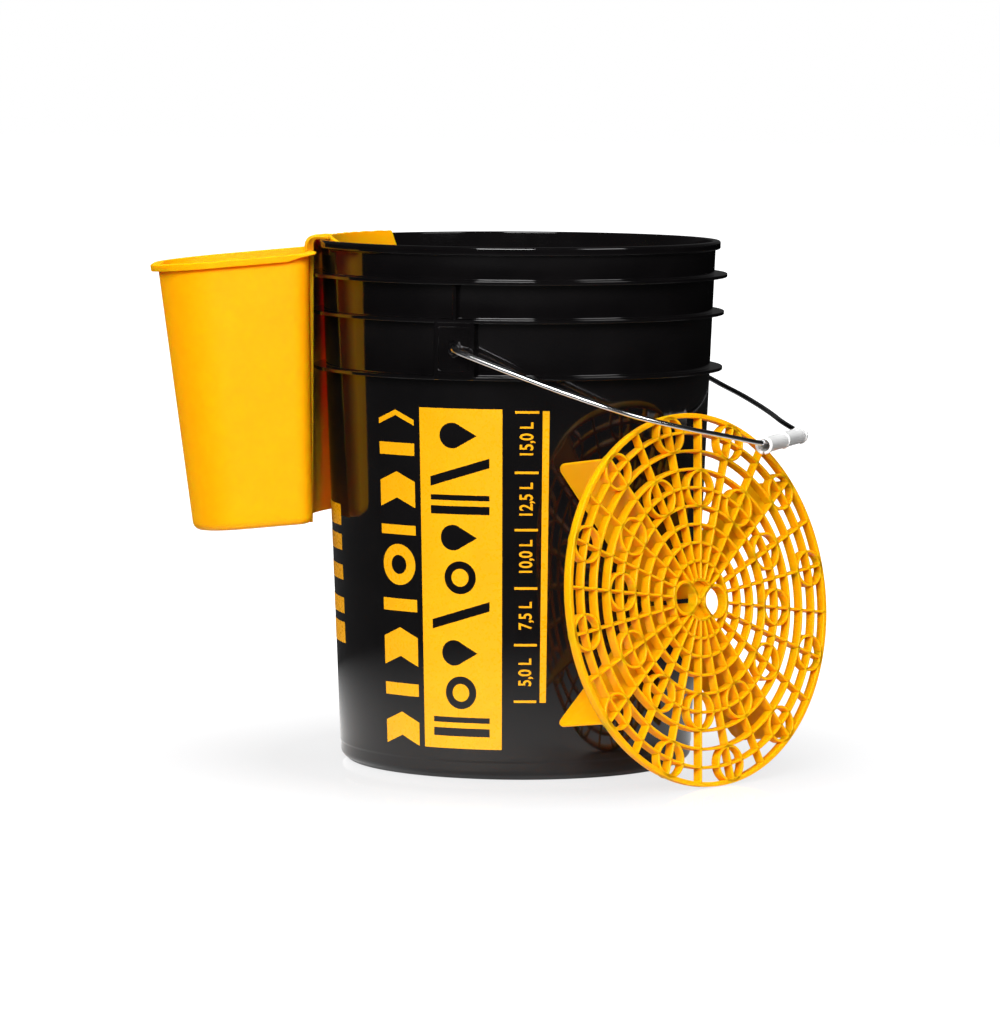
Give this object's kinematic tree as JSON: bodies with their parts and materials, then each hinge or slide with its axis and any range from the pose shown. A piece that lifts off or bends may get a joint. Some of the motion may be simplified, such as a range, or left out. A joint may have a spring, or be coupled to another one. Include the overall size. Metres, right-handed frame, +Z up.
{
  "type": "wash bucket",
  "caption": "Tall black wash bucket with wire bail and roller grip, a round yellow grit guard with fins leaning on it and a yellow tool caddy hooked over its rim.",
  "frame": {"origin": "centre of the flat base that the bucket stands on", "axes": "+Z up the bucket's axis; the two ears that carry the bail lie on the Y axis; +X towards the side that the bail rests on"},
  "size_m": [0.5002, 0.3791, 0.3908],
  "materials": {
    "bucket_black": "high-gloss black moulded polypropylene with a yellow screen print",
    "bail_steel": "bright zinc-plated round wire",
    "grip_white": "white moulded plastic, lightly frosted",
    "guard_yellow": "satin golden-yellow moulded plastic",
    "caddy_yellow": "satin golden-yellow moulded plastic"
  },
  "bodies": {
    "bucket": {"bucket_shell": "bucket_black"},
    "bail": {"bail_wire": "bail_steel"},
    "bail_grip": {"grip": "grip_white"},
    "guard": {"guard_grille": "guard_yellow", "guard_fin_a": "guard_yellow", "guard_fin_b": "guard_yellow", "guard_fin_c": "guard_yellow", "guard_fin_d": "guard_yellow"},
    "side_caddy": {"caddy": "caddy_yellow"}
  },
  "joints": [
    {"name": "bail_swing", "type": "hinge", "parent": "bucket", "child": "bail", "pos_m": [0, 0, 0.3145], "axis": [0, -1, 0], "range_deg": [0, 160]},
    {"name": "grip_spin", "type": "hinge", "parent": "bail", "child": "bail_grip", "pos_m": [0.20353, 0, 0.24521], "axis": [0, 1, 0], "continuous": true},
    {"name": "caddy_lift", "type": "slide", "parent": "bucket", "child": "side_caddy", "axis": [0, 0, 1], "range_m": [0, 0.3]},
    {"name": "guard_away", "type": "hinge", "parent": "bucket", "child": "guard", "pos_m": [-0.6417, 0.237, 0], "axis": [0, 0, 1], "range_deg": [-45, 0]}
  ]
}
